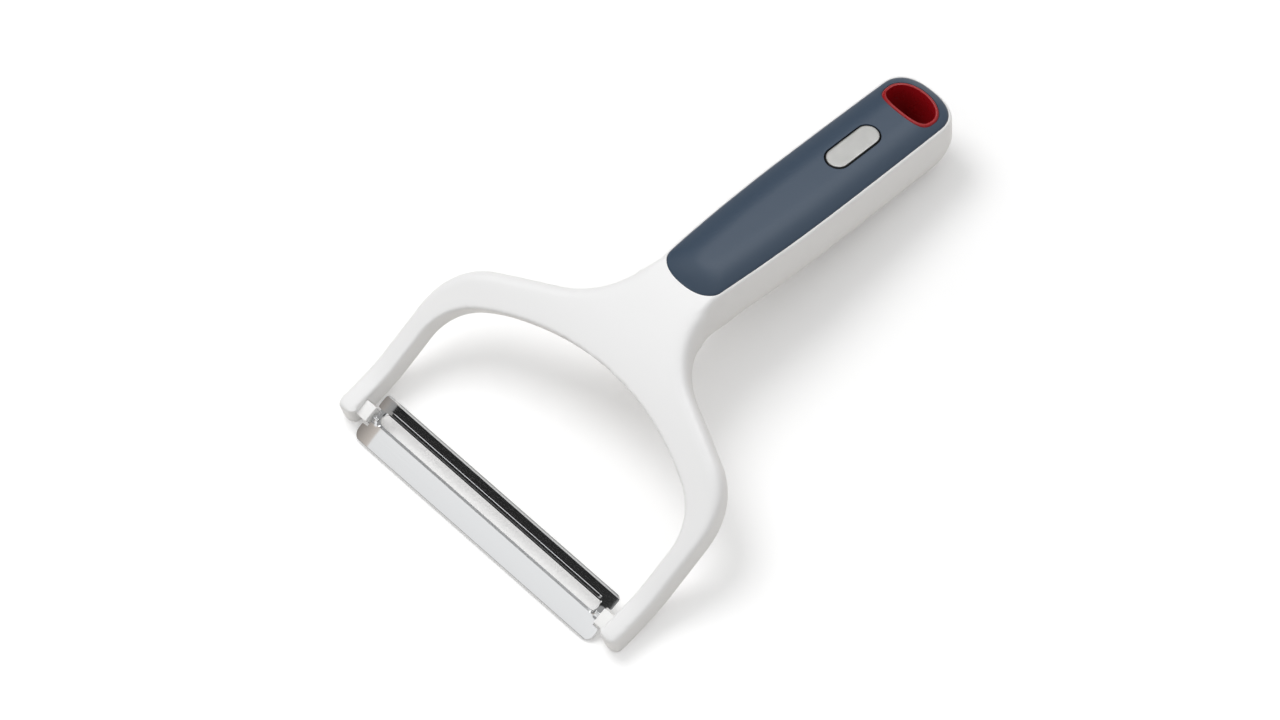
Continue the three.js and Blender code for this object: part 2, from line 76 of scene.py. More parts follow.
# Rim of the liner: share of its wall from the outside, and lift above the grip in mm
RIM = ((0, -0.35), (0.08, -0.08), (0.28, 0.08), (0.5, 0.14), (0.72, 0.08), (0.92, -0.08),
       (1, -0.35))
# Rounded edge of the badge: inset, and drop below its top, in mm
BADGE_EDGE = ((0, 0.35), (0.05, 0.16), (0.16, 0.05), (0.35, 0), (0.6, 0))
# Along the blade, from the slot's end: where the ground edge fades and where the eye rises
GROUND_FADE = (-0.9 * MM, -0.3 * MM)
EYE_RISE = (-0.6 * MM, 0.9 * MM)
EDGE_RUN = 1.2 * MM  # width over which the blade thins towards its outline

# Camera fitted to the photograph, in pixels of its width
PHOTO_WIDTH = 1280
FOCAL = 5260.8
SHIFT = (13.03, 39.88)
# Cards that only reflections see: name, place, size, lowest and highest strength, tone and axis
CARDS = (
    ("dark_gap", (-0.17, -0.37, 0.62), (0.42, 0.16), 0.012, 0.03),
    ("front_softbox", (-0.20, -0.70, 0.62), (0.95, 0.42), 1.0, 1.16),
    ("rear_softbox", (-0.18, 0.57, 0.80), (0.7, 0.5), 2.4, 2.7),
    ("dim_edge", (-0.30, 0.50, 0.43), (0.24, 0.10), 0.2, 0.28),
    ("warm_corner", (-0.46, -0.50, 0.40), (0.26, 0.40), 0.34, 0.9, "#EDE3DA", "X"),
    ("dark_room", (-0.84, 0.46, 0.34), (1.1, 0.8), 0.03, 0.10),
)


def linear(code):
    """Linear colour of an sRGB hex value."""
    channels = [int(code[i:i + 2], 16) / 255 for i in (1, 3, 5)]
    return [c / 12.92 if c <= 0.04045 else ((c + 0.055) / 1.055) ** 2.4 for c in channels] + [1.0]


def length(about, millimetres):
    return bpy.props.FloatProperty(
        description=about, default=millimetres * MM, unit="LENGTH", precision=5)


def angle(about, degrees):
    return bpy.props.FloatProperty(
        description=about, default=math.radians(degrees), unit="ROTATION")


def number(about, value):
    return bpy.props.FloatProperty(description=about, default=value)


def colour(about, code):
    return bpy.props.FloatVectorProperty(
        description=about, default=linear(code), size=4, subtype="COLOR", min=0, max=1)


class PeelerFrameSizes(bpy.types.PropertyGroup):
    tip_reach: length("Arm tips ahead of the blade's pivot line", 4.6)
    tip_height: length("Top face at the arm tips", 8.9)
    tip_length: length("Straight run at the arm tips", 8.7)
    tip_slope: angle("Slope of the arm tips", 10)
    foot_radius: length("Bend between the tip and the arm", 40)
    arm_length: length("Straight run of the arms", 29.8)
    arm_slope: angle("Slope of the arms", 28.5)
    neck_radius: length("Bend over the neck", 85)
    handle_slope: angle("Slope of the handle", -8.6)
    arm_inner_half: length("Middle to the inner face of an arm", 53)
    arm_width: length("Width of an arm", 6.58)
    arm_depth: length("Depth of the arms", 10.2)
    inner_corner: length("Radius between an arm and the arch", 20)
    arch_radius: length("Radius of the arch", 84.3)
    arch_apex: length("Middle of the arch along the profile", 60.4)
    shoulder_start: length("Where the shoulder begins", 37.8)
    shoulder_radius: length("Radius of the shoulders", 24)
    flank_slope: angle("Slope of the flank towards the neck", 27)
    neck_fillet: length("Radius between flank and neck", 30)
    neck_half: length("Half-width of the neck", 11.2)
    neck_end: length("How far the neck runs on into the handle", 109)
    neck_depth: length("Depth of the neck where it meets the handle", 23.5)
    chin_start: length("Where the underside begins to deepen", 48)
    chin_end: length("Where the underside meets the handle's", 110)
    tip_radius: length("Rounding of the arm tips", 2.4)
    tip_over: length("Arm tips past the start of the profile", 1.3)
    top_round: length("Rounding of the upper edges", 1.5)
    inner_round: length("Rounding of the upper edges round the arch", 0.6)
    low_round: length("Rounding of the lower edges", 2)
    neck_round: length("Lower rounding where the neck meets the handle", 3.5)
    neck_round_start: length("Where that rounding begins to grow", 80)
    side_swell: length("Soft swell of the flanks past the outline", 2)
    swell_full: length("Where that swell is full", 64)
    swell_fade: length("Where it begins to fade towards the handle", 90)
    swell_end: length("Where it has faded", 99)
    flank_round: length("Lower rounding of the swollen flanks", 5)
    skin: length("Fineness of the moulding's surface", 0.62)


class PeelerHandleSizes(bpy.types.PropertyGroup):
    grip_front: length("Front of the grip along the profile", 95)
    grip_end: length("End of the grip along the profile", 205.6)
    front_half: length("Half-width of the grip at its front", 10.1)
    belly_half: length("Half-width of the grip at its widest", 12.4)
    tail_half: length("Half-width of the grip at its end", 12)
    belly_place: length("Where the grip is widest", 150)
    nose_length: length("Length of the round front", 6.5)
    tail_length: length("Length of the round end", 9.5)
    nose_fullness: number("Squareness of the round front", 2.3)
    tail_fullness: number("Squareness of the round end", 2.4)
    rim_width: length("White rim round the grip", 0.9)
    rim_edge: length("Rounding of the rim", 0.4)
    rim_drop: length("Rim below the neck's top face", 0.06)
    flare: length("How far the sides swell past the grip", 1.8)
    flare_depth: length("Depth at which the sides are widest", 9)
    handle_depth: length("Depth of the handle", 27)
    keel_fullness: number("Fullness of the round underside, 1 for an ellipse", 1.33)
    front_round: length("Rounding of the underside at the front", 30)
    end_round: length("Rounding of the underside at the end", 9)
    wall: length("Wall of the hollow handle", 3)
    grip_inset: length("Depth of the grip's pocket", 2.4)
    grip_ledge: length("Ledge that the grip lies on", 1.6)
    core_thickness: length("Plate of the stiff core", 2)
    core_ledge: length("Ledge that the core lies on", 1.8)
    crown: length("Height of the crowned grip", 2.66)
    crown_flat: length("Half-width left flat along the middle", 3.2)
    hang_half: length("Half-width of the hang hole", 9.8)
    hang_front: length("Hole ahead of its middle", 6.3)
    hang_rear: length("Hole behind its middle", 6.8)
    hang_draft: number("Share by which the hole narrows at the underside", 0.3)
    hang_end_gap: length("Grip left behind the hole", 2.9)
    liner_wall: length("Wall of the red liner", 1.2)
    badge_length: length("Length of the badge", 20.7)
    badge_width: length("Width of the badge", 7.5)
    badge_thickness: length("Thickness of the badge", 1.2)
    badge_proud: length("Badge above the grip", 0.3)
    # The gap shows black through the pad's wall, which is painted shade for the shadow in the gap
    badge_gap: length("Black gap round the badge", 0.6)
    badge_hang_gap: length("Grip left between badge and hole", 9.85)
    fit: length("Gap between the fitted pieces", 0.08)


class PeelerBladeSizes(bpy.types.PropertyGroup):
    tilt: angle("Blade's tilt about the pivot line", 22.5)
    side_gap: length("Blade's front strip short of the arms", 2.3)
    guide_gap: length("Blade's guide strip short of the arms", 3)
    guide_edge: length("Rear edge behind the pivot line", 8.2)
    front_edge: length("Front edge ahead of the pivot line", 8.7)
    thickness: length("Sheet thickness", 0.8)
    slot_rear: length("Slot behind the pivot line", 3.3)
    slot_front: length("Slot ahead of the pivot line", 0.5)
    web: length("Sheet left between slot and notch", 2.1)
    bevel: length("Ground bevel of the cutting edge", 0.8)
    cutting: length("Thickness left at the cutting edge", 0.15)
    front_drop: length("Fall of the front strip", 1.1)
    lip_width: length("Raised lip along the rear edge", 0.75)
    lip_height: length("Height of that lip", 0.465)
    rib_width: length("Pressed rib of the guide strip", 1.0)
    rib_height: length("Height of that rib", 0.15)
    rib_setback: length("Rib behind the slot", 0.45)
    rib_end_gap: length("Guide strip left past the rib's ends", 5)
    guide_corner: length("Corner radius of the guide strip", 1.6)
    front_corner: length("Corner radius of the front strip", 3)
    eye_radius: length("Pressed eye at each end", 0.85)
    end_curl: length("Fall of the blade's ends", 0.7)
    curl_length: length("Run of that fall", 7)
    edge_left: length("Thickness left along the outline", 0.3)
    fold: length("Turned-down front edge", 0.4)
    pin_radius: length("Pivot pin", 0.7)
    pin_gap: length("Gap round the pin", 0.05)
    pin_depth: length("Bore for the pin in an arm", 4.8)
    block_length: length("Block along the handle", 5.4)
    block_height: length("Block's height", 5)
    block_proud: length("Block out of the arm", 4)
    block_socket: length("Block inside the arm", 3.6)
    block_edge: length("Rounding of the block's edges", 0.3)
    swivel_gap: length("Gap between block and notch", 0.5)
    notch_ease: length("Extra gap ahead of the block, for the fallen ends", 0.4)


class PeelerFinishes(bpy.types.PropertyGroup):
    white: colour("Moulding", "#F6F6F6")
    # Brighter than the moulding: partly acetal's own white, partly painted light that lifts the
    # small blocks out of the arms' shade
    block: colour("Pivot blocks", "#FDFDFC")
    grip: colour("Soft grip", "#36475A")
    red: colour("Hang hole liner", "#A0121A")
    badge: colour("Badge metal", "#B9B9B7")
    steel: colour("Blade steel", "#DBDCDD")
    floor: colour("Pale floor", "#EFECE8")


def sizes(group):
    return getattr(bpy.context.scene, "peeler_" + group)


# Shared shape work

def side_profile(along):
    """Place (y, z) and slope of the top face at a length from the arm tips."""
    f = sizes("frame")
    runs = (
        (f.tip_length, f.tip_slope, f.tip_slope),
        (f.foot_radius * (f.arm_slope - f.tip_slope), f.tip_slope, f.arm_slope),
        (f.arm_length, f.arm_slope, f.arm_slope),
        (f.neck_radius * (f.arm_slope - f.handle_slope), f.arm_slope, f.handle_slope),
        (math.inf, f.handle_slope, f.handle_slope),
    )
    y, z, left = pivot.y - f.tip_reach, f.tip_height, along
    for run, start, end in runs:
        step = min(left, run)
        turn = (end - start) / run
        slope = start + turn * step
        y += step * math.cos(slope) if turn == 0 else (math.sin(slope) - math.sin(start)) / turn
        z += step * math.sin(slope) if turn == 0 else (math.cos(start) - math.cos(slope)) / turn
        left -= step
        if left <= 0:
            return y, z, slope


def bend(piece):
    """Bends flat work along the side profile."""
    for corner in piece.data.vertices:
        height = corner.co.z
        y, z, slope = side_profile(corner.co.y)
        corner.co.y = y - height * math.sin(slope)
        corner.co.z = z + height * math.cos(slope)
    piece.data.update()
    return piece


def smoothstep(value, low, high):
    share = min(max((value - low) / (high - low), 0), 1)
    return share * share * (3 - 2 * share)


def arc(cx, cy, radius, start, end, steps):
    turns = [start + (end - start) * i / steps for i in range(steps + 1)]
    return [(cx + radius * math.cos(a), cy + radius * math.sin(a)) for a in turns]


def straight(start, end, steps, first=1):
    """Points that divide a straight line, short of its end."""
    (ax, ay), (bx, by) = start, end
    shares = [i / steps for i in range(first, steps)]
    return [(ax + (bx - ax) * share, ay + (by - ay) * share) for share in shares]


def stadium(long_half, radius, steps=16):
    """Outline with two straight sides along X and round ends."""
    right = arc(long_half - radius, 0, radius, -QUARTER, QUARTER, steps)
    return right + [(-x, -y) for x, y in right]


def deselect():
    if bpy.context.object and bpy.context.object.mode != "OBJECT":
        bpy.ops.object.mode_set(mode="OBJECT")
    bpy.ops.object.select_all(action="DESELECT")


def pick(piece):
    """Selects one piece alone and makes it active."""
    deselect()
    piece.select_set(True)
    bpy.context.view_layer.objects.active = piece


def edit(piece):
    """Opens a piece for editing with all of it selected."""
    pick(piece)
    bpy.ops.object.mode_set(mode="EDIT")
    bpy.ops.mesh.select_all(action="SELECT")


def named(name):
    """Names the object that was added last."""
    piece = bpy.context.object
    piece.name = piece.data.name = name
    return piece


def ring(name, points, fill="NOTHING"):
    """Adds a circle with a corner for each point and moves the corners to their places."""
    deselect()
    bpy.ops.mesh.primitive_circle_add(vertices=len(points), radius=10 * MM, fill_type=fill)
    piece = named(name)
    spot = piece.data.attributes.new("spot", "INT", "POINT")
    for i, (corner, point) in enumerate(zip(piece.data.vertices, points)):
        corner.co = point
        spot.data[i].value = i
    return piece


def close(piece):
    """Merges doubles, fills open ends and turns the faces outwards."""
    edit(piece)
    bpy.ops.mesh.remove_doubles(threshold=MERGE)
    bpy.ops.mesh.fill_holes(sides=0)
    bpy.ops.mesh.normals_make_consistent(inside=False)
    bpy.ops.object.mode_set(mode="OBJECT")
    return piece


def loft(name, rings):
    """Skins a run of rings by extruding the first one through the places of the others."""
    piece = ring(name, rings[0])
    edit(piece)
    for points in rings[1:]:
        bpy.ops.mesh.extrude_edges_move()
        work = bmesh.from_edit_mesh(piece.data)
        spot = work.verts.layers.int["spot"]
        for corner in work.verts:
            if corner.select:
                corner.co = points[corner[spot]]
        bmesh.update_edit_mesh(piece.data)
    bpy.ops.object.mode_set(mode="OBJECT")
    return close(piece)


def shape(piece, kind, **settings):
    """Adds a modifier with its settings and applies it."""
    pick(piece)
    bpy.ops.object.modifier_add(type=kind)
    modifier = piece.modifiers[-1]
    for key, value in settings.items():
        setattr(modifier, key, value)
    bpy.ops.object.modifier_apply(modifier=modifier.name)


def combine(piece, tool, how="DIFFERENCE"):
    """Cuts or trims a piece with another solid, which is then removed."""
    shape(piece, "BOOLEAN", object=tool, operation=how, solver="EXACT")
    bpy.data.meshes.remove(tool.data)


def trim_to_floor(piece):
    """Cuts away what lies below the floor and closes the cut."""
    edit(piece)
    bpy.ops.mesh.bisect(plane_co=(0, 0, 0), plane_no=(0, 0, 1), use_fill=True, clear_inner=True,
                        threshold=MERGE)
    bpy.ops.object.mode_set(mode="OBJECT")


def at_height(outline, height, spread=1):
    """Flat outline as a ring at a height; spread 0 folds it onto the middle line."""
    return [(x * spread, y, height) for x, y in outline]


def column(name, outline, low, high):
    """Straight-walled solid on a flat outline."""
    return loft(name, [at_height(outline, z) for z in (low, high)])


def clear_doubled(piece):
    """Splits the faces into triangles and drops the doubled slivers that cutting leaves."""
    work = bmesh.new()
    work.from_mesh(piece.data)
    bmesh.ops.remove_doubles(work, verts=work.verts, dist=MERGE)
    bmesh.ops.triangulate(work, faces=work.faces)
    alike = {}
    for face in work.faces:
        alike.setdefault(frozenset(face.verts), []).append(face)
    doubled = [face for faces in alike.values() if len(faces) > 1 for face in faces]
    bmesh.ops.delete(work, geom=doubled, context="FACES")
    work.to_mesh(piece.data)
    work.free()


def smooth(piece, degrees):
    pick(piece)
    bpy.ops.object.shade_smooth_by_angle(angle=math.radians(degrees))


def dress(piece, material, body, slot, *nodes):
    """Gives a finished piece its material, body and the solids that it stands for; the record slot
    is not used.
    """
    if "spot" in piece.data.attributes:
        piece.data.attributes.remove(piece.data.attributes["spot"])
    piece.data.materials.clear()
    piece.data.materials.append(material)
    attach(piece, body)
    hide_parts(*nodes)


# Outline of the grip and of the handle round it

def grip_half(along):
    h = sizes("handle")
    ahead = along < h.belly_place
    end_half, end = (h.front_half, h.grip_front) if ahead else (h.tail_half, h.grip_end)
    share = (along - h.belly_place) / (end - h.belly_place)
    return h.belly_half - (h.belly_half - end_half) * share ** 2


def handle_half(along, grow, front_grow, end_grow):
    """Half-width of the grown outline at a length along the handle."""
    h = sizes("handle")
    half = max(grip_half(along) + grow, 0)
    nose = (h.grip_front - front_grow + h.nose_length - along) / h.nose_length
    tail = (along - h.grip_end - end_grow + h.tail_length) / h.tail_length
    if nose > 0:
        half *= max(1 - nose ** h.nose_fullness, 0) ** (1 / h.nose_fullness)
    if tail > 0:
        half *= max(1 - tail ** h.tail_fullness, 0) ** (1 / h.tail_fullness)
    return half


def handle_ring(height, grow, front_grow=None, end_grow=None, spread=1.0, caps=16, sides=34):
    """One outline of the handle at a height; spread 0 folds it onto the middle line."""
    h = sizes("handle")
    front_grow = grow if front_grow is None else front_grow
    end_grow = grow if end_grow is None else end_grow
    front, end = h.grip_front - front_grow, h.grip_end + end_grow
    places = []
    for i in range(caps):
        turn = QUARTER * i / caps
        places.append(front + h.nose_length * (1 - math.cos(turn) ** (2 / h.nose_fullness)))
    for i in range(sides + 1):
        start, stop = front + h.nose_length, end - h.tail_length
        places.append(start + (stop - start) * i / sides)
    for i in range(caps - 1, -1, -1):
        turn = QUARTER * i / caps
        places.append(end - h.tail_length * (1 - math.cos(turn) ** (2 / h.tail_fullness)))
    right = [(handle_half(y, grow, front_grow, end_grow) * spread, y, height) for y in places]
    return right + [(-x, y, z) for x, y, z in reversed(right[1:-1])]


def handle_solid(name, top):
    """Outside of the handle, from its flat top over the flared sides to the round underside."""
    h = sizes("handle")
    rings = [handle_ring(top, h.rim_width - h.rim_edge, spread=0)]
    rings.append(handle_ring(top, h.rim_width - h.rim_edge))
    rings.append(handle_ring(-h.rim_drop - h.rim_edge, h.rim_width))
    steps = 18
    for i in range(steps + 1):
        turn = QUARTER * i / steps
        half = (h.belly_half + h.flare) * max(math.cos(turn), 0) ** (1 / h.keel_fullness)
        height = -h.flare_depth - (h.handle_depth - h.flare_depth) * math.sin(turn)
        front = h.flare - h.front_round * (1 - math.cos(turn))
        end = h.flare - h.end_round * (1 - math.cos(turn))
        rings.append(handle_ring(height, half - h.belly_half, front, end,
                                 spread=0 if i == steps else 1))
    return bend(loft(name, rings))


def capped(*layers):
    """Rings of the handle at several heights, folded shut past the first and the last."""
    rings = [handle_ring(*layer) for layer in layers]
    return [handle_ring(*layers[0], spread=0), *rings, handle_ring(*layers[-1], spread=0)]


def hang_place():
    h = sizes("handle")
    return h.grip_end - h.hang_end_gap - h.hang_rear


def hang_outline(grow, depth=0.0, steps=72):
    """Rounded D of the hang hole, drawn in towards the underside."""
    h = sizes("handle")
    draw = h.hang_draft * (max(depth, 0) / h.handle_depth) ** DRAFT_POWER
    points = []
    for i in range(steps):
        turn = 4 * QUARTER * i / steps
        rear = math.sin(turn) >= 0
        power = 2 / HANG_FULLNESS[rear]
        across = h.hang_half * (1 - draw) + grow
        reach = (h.hang_rear if rear else h.hang_front) * (1 - DRAFT_ALONG * draw) + grow
        x = math.copysign(abs(math.cos(turn)) ** power, math.cos(turn)) * across
        y = math.copysign(abs(math.sin(turn)) ** power, math.sin(turn)) * reach
        points.append((x, hang_place() + y))
    return points


# Depths of the rings down the hang hole, to below the floor
hole_depths = [3 * MM * i for i in range(1, 13)]


def hang_column(grow):
    """Solid that fills the hang hole from above the grip to below the floor."""
    depths = [-12 * MM, 0] + hole_depths
    return bend(loft("hang_tool", [at_height(hang_outline(grow, d), -d) for d in depths]))


def badge_outline(grow):
    h = sizes("handle")
    place = hang_place() - h.hang_front - h.badge_hang_gap - h.badge_length / 2
    outline = stadium(h.badge_length / 2 + grow, h.badge_width / 2 + grow)
    return [(-y, place + x) for x, y in outline]


def crown_height(inset):
    h = sizes("handle")
    span = h.belly_half - h.crown_flat
    return h.crown * (1 - (1 - min(max(inset / span, 0), 1)) ** 2)


def crown_at(x, along):
    """Height of the crowned grip above a point of its outline."""
    h = sizes("handle")
    low, high = 0.0, h.belly_half - h.crown_flat
    for _ in range(30):
        middle = (low + high) / 2
        inside = handle_half(along, -middle, -middle, -middle) > abs(x)
        low, high = (middle, high) if inside else (low, middle)
    return crown_height(low)


# Materials

def add(tree, kind, links=None, **settings):
    """Adds a node with its settings, and links each named input to a socket or sets its value."""
    node = tree.nodes.new("ShaderNode" + kind)
    for key, value in settings.items():
        setattr(node, key, value)
    for key, value in (links or {}).items():
        if isinstance(value, bpy.types.NodeSocket):
            tree.links.new(value, node.inputs[key])
        else:
            node.inputs[key].default_value = value
    return node


def blank(name):
    """New material, its empty tree and the socket of the object's own coordinates."""
    material = bpy.data.materials.new(name)
    material.use_nodes = True
    tree = material.node_tree
    tree.nodes.clear()
    return material, tree, add(tree, "TexCoord").outputs["Object"]


def shade(tree, value, low, high, start=0.0, stop=1.0):
    """Maps a pattern that runs from start to stop onto a range."""
    return add(tree, "MapRange", {
        "Value": value, "From Min": start, "From Max": stop,
        "To Min": low, "To Max": high}).outputs[0]


def output(tree, shader):
    add(tree, "OutputMaterial", {"Surface": shader.outputs[0]})


def noise(tree, place, grain_mm, detail=2.0):
    """Noise pattern with a grain of a given size."""
    return add(tree, "TexNoise", {
        "Vector": place, "Scale": 1 / (grain_mm * MM), "Detail": detail}).outputs["Fac"]


def blended(tree, pattern, share, first, second):
    """First tone, taken some way towards the second by a pattern."""
    return add(tree, "MixRGB", {
        "Fac": shade(tree, pattern, 0.0, share), "Color1": first,
        "Color2": linear(second)}).outputs[0]


def surface(tree, tint, rough, relief=None, **inputs):
    """Principled surface: rough is a pattern and its range, relief a pattern with the strength
    of the bump and its height in mm."""
    links = {"Base Color": tint, "Roughness": shade(tree, *rough)}
    if relief:
        pattern, strength, height = relief
        links["Normal"] = add(tree, "Bump", {
            "Height": pattern, "Strength": strength, "Distance": height * MM}).outputs[0]
    links.update((key.replace("_", " "), value) for key, value in inputs.items())
    output(tree, add(tree, "BsdfPrincipled", links))


def white_abs(name, tone):
    """Injection-moulded ABS, satin gloss: a soft broad highlight over a faint orange-peel skin,
    with the slight cloudiness that a thick white moulding shows."""
    material, tree, place = blank(name)
    peel = noise(tree, place, 0.9, 3.0)
    cloud = noise(tree, place, 35)
    surface(tree, blended(tree, cloud, 0.12, tone, "#EEEDEC"), (peel, 0.30, 0.42),
            (peel, 0.04, 0.05), IOR=1.53)
    return material


def soft_grip(tone):
    """Thermoplastic rubber with a soft-touch skin: matte, a fine spark-eroded grain,
    and a pale bloom where it turns away."""
    material, tree, place = blank("soft-touch rubber grip")
    # The real grain is about 0.1 mm, too fine to show, so it is drawn at 0.35 mm
    grain = noise(tree, place, 0.35)
    wear = noise(tree, place, 18, 3.0)
    surface(tree, blended(tree, wear, 0.25, tone, "#3C4D5F"), (grain, 0.34, 0.44),
            (grain, 0.12, 0.04), IOR=1.5, Sheen_Weight=0.08, Sheen_Roughness=0.5)
    return material


def red_plastic(tone):
    """Gloss-moulded red polypropylene with faint flow marks."""
    material, tree, place = blank("gloss red polypropylene")
    flow = noise(tree, place, 4)
    surface(tree, blended(tree, flow, 0.3, tone, "#8E0A12"), (flow, 0.22, 0.34),
            (flow, 0.05, 0.05), IOR=1.49)
    return material


def satin_metal(tone):
    """Bead-blasted nickel-plated zinc: an even fine grain that scatters the highlight."""
    material, tree, place = blank("satin blasted nickel")
    # Blasting leaves dimples of about 0.05 mm, drawn here at 0.25 mm so that they show
    beads = add(tree, "TexVoronoi", {
        "Vector": place, "Scale": 1 / (0.25 * MM)}).outputs["Distance"]
    haze = noise(tree, place, 3)
    surface(tree, blended(tree, haze, 0.3, tone, "#ADADAB"), (haze, 0.36, 0.5),
            (beads, 0.25, 0.03), Metallic=1.0)
    return material


def polished_steel(name, tone):
    """Polished stainless strip: a mirror with the faint lengthwise lines of belt polishing."""
    material, tree, place = blank(name)
    # Polishing lines run along the blade, about 0.15 mm apart and 60 mm long
    along = add(tree, "Mapping", {
        "Vector": place, "Scale": (1 / (60 * MM), 1 / (0.15 * MM), 1 / (0.15 * MM))})
    lines = add(tree, "TexNoise", {
        "Vector": along.outputs[0], "Scale": 1.0, "Detail": 3.0}).outputs["Fac"]
    surface(tree, blended(tree, lines, 0.2, tone, "#BFC2C5"), (lines, 0.06, 0.13),
            (lines, 0.03, 0.02), Metallic=1.0)
    return material


def dark_filler(name, code, grain_mm):
    """Matte dark stock that is hardly seen: foam tape under the badge, whose near-black wall in the
    gap round the badge is painted shade, and the core in the handle.
    """
    material, tree, place = blank(name)
    cells = noise(tree, place, grain_mm, 3.0)
    surface(tree, blended(tree, cells, 0.5, linear(code), "#18191A"), (cells, 0.75, 0.95),
            IOR=1.25)
    return material


# Pieces

def swell(along):
    """How far the outer edge of the yoke swells at a length along the profile."""
    f = sizes("frame")
    return (f.side_swell * smoothstep(along, f.shoulder_start, f.swell_full)
            * (1 - smoothstep(along, f.swell_fade, f.swell_end)))


def yoke_half():
    """Right half of the yoke's outline, from the neck's end round the arm to the middle of the
    arch, each point with True where it lies on the inner edge."""
    f, h = sizes("frame"), sizes("handle")
    outer = f.arm_inner_half + f.arm_width
    turn = QUARTER - f.flank_slope
    shoulder_x = outer - f.shoulder_radius
    flank_x = shoulder_x + f.shoulder_radius * math.cos(turn)
    flank_y = f.shoulder_start + f.shoulder_radius * math.sin(turn)
    fillet_x = f.neck_half + f.neck_fillet
    flank_end_x = fillet_x - f.neck_fillet * math.sin(f.flank_slope)
    flank_end_y = flank_y + (flank_x - flank_end_x) * math.tan(f.flank_slope)
    fillet_y = flank_end_y + f.neck_fillet * math.cos(f.flank_slope)
    side = handle_half(f.neck_end, h.rim_width, NECK_LEAD, 0)
    points = straight((side, f.neck_end), (f.neck_half, fillet_y), 10, 0)
    points += arc(fillet_x, fillet_y, f.neck_fillet, 2 * QUARTER, 3 * QUARTER - f.flank_slope, 26)
    points += straight((flank_end_x, flank_end_y), (flank_x, flank_y), 15)
    points += arc(shoulder_x, f.shoulder_start, f.shoulder_radius, turn, 0, 22)
    points += straight((outer, f.shoulder_start), (outer, f.tip_radius), 24)
    tip_y = f.tip_radius - f.tip_over
    points += arc(outer - f.tip_radius, tip_y, f.tip_radius, 0, -QUARTER, 8)
    edge = len(points)
    swollen = []
    for (ax, ay), (x, y), (bx, by) in zip(points[:-2], points[1:-1], points[2:]):
        grow = swell(y) / math.hypot(bx - ax, by - ay)
        swollen.append((x - (by - ay) * grow, y + (bx - ax) * grow))
    points[1:-1] = swollen
    inner = f.arm_inner_half
    points += arc(inner + f.tip_radius, tip_y, f.tip_radius, -QUARTER, -2 * QUARTER, 8)
    corner_x = inner - f.inner_corner
    arch_y = f.arch_apex - f.arch_radius
    corner_y = arch_y + math.sqrt((f.arch_radius - f.inner_corner) ** 2 - corner_x ** 2)
    points += straight((inner, f.tip_radius), (inner, corner_y), 22)
    meeting = math.atan2(corner_y - arch_y, corner_x)
    points += arc(corner_x, corner_y, f.inner_corner, 0, meeting, 14)
    points += arc(0, arch_y, f.arch_radius, meeting, QUARTER, 34)[1:]
    return [(x, y, i >= edge) for i, (x, y) in enumerate(points)]


def yoke_plate():
    """Arms, arch and neck: a flat outline, extruded, rounded and bent."""
    f = sizes("frame")
    right = yoke_half()
    outline = right + [(-x, y, inner) for x, y, inner in reversed(right[:-1])]
    piece = ring("yoke_work", [(x, y, 0) for x, y, inner in outline], fill="NGON")
    edit(piece)
    bpy.ops.mesh.extrude_region_move(TRANSFORM_OT_translate={"value": (0, 0, -f.arm_depth)})
    bpy.ops.object.mode_set(mode="OBJECT")
    close(piece)
    weights = piece.data.attributes.new("bevel_weight_edge", "FLOAT", "EDGE")
    spots = [value.value for value in piece.data.attributes["spot"].data]
    for edge in piece.data.edges:
        a, b = (piece.data.vertices[i].co for i in edge.vertices)
        if abs(a.z - b.z) > MM:
            continue
        inner = all(outline[spots[i]][2] for i in edge.vertices)
        growth = 0 if inner else smoothstep(a.y, f.neck_round_start, f.chin_end)
        share = 0 if inner else swell(a.y) / f.side_swell
        low = f.low_round + max((f.neck_round - f.low_round) * growth,
                                (f.flank_round - f.low_round) * share)
        high = f.inner_round if inner else f.top_round + SWELL_ROUND * f.side_swell * share
        weights.data[edge.index].value = (high if a.z > -MM else low) / f.flank_round
    shape(piece, "BEVEL", width=f.flank_round, segments=6, limit_method="WEIGHT",
          use_clamp_overlap=False)
    edit(piece)
    for i in range(1, int(f.neck_end / SLICE) + 1):
        bpy.ops.mesh.select_all(action="SELECT")
        bpy.ops.mesh.bisect(plane_co=(0, i * SLICE, 0), plane_no=(0, 1, 0), threshold=MERGE)
    bpy.ops.object.mode_set(mode="OBJECT")
    for corner in piece.data.vertices:
        below = -f.top_round - corner.co.z
        if below > 0:
            depth = f.arm_depth + (f.neck_depth - f.arm_depth) * smoothstep(
                corner.co.y, f.chin_start, f.chin_end)
            stretch = (depth - f.top_round) / (f.arm_depth - f.top_round)
            corner.co.z = -f.top_round - below * stretch
    return bend(piece)


def hollow_tools():
    """Pocket of the grip, seat of the core and the cavity below, as cutting solids."""
    h = sizes("handle")
    inset = h.grip_ledge + h.core_ledge
    tight = -inset - 3 * MM
    core_low = -h.grip_inset - h.core_thickness - SEAT
    back = hang_place() - h.hang_front - HOLE_WALL - h.grip_end
    pocket = capped((2 * h.crown, h.fit), (-h.grip_inset, h.fit))
    seat = capped((0, -h.grip_ledge), (core_low, -h.grip_ledge))
    cavity = capped((-h.grip_inset, -inset, None, back),
                    (-h.flare_depth - 4 * MM, -inset, None, back),
                    (-h.handle_depth + 2 * h.wall, tight, tight, back))
    return [bend(loft("hollow_tool", rings)) for rings in (pocket, seat, cavity)]


def block_box(name, side, grow, edge=0.0):
    """Pivot block as a rounded box in the blade's frame, turned and lifted to its place."""
    b, f = sizes("blade"), sizes("frame")
    span = b.block_proud + b.block_socket + grow
    middle = side * (f.arm_inner_half - b.block_proud + span / 2)
    deselect()
    bpy.ops.mesh.primitive_cube_add(size=1)
    piece = named(name)
    size = (span, b.block_length + 2 * grow, b.block_height + 2 * grow, 1)
    piece.data.transform(Matrix.Diagonal(size))
    if edge:
        shape(piece, "BEVEL", width=edge, segments=4, limit_method="ANGLE")
    piece.data.transform(blade_place() @ Matrix.Translation((middle, 0, 0)))
    return piece


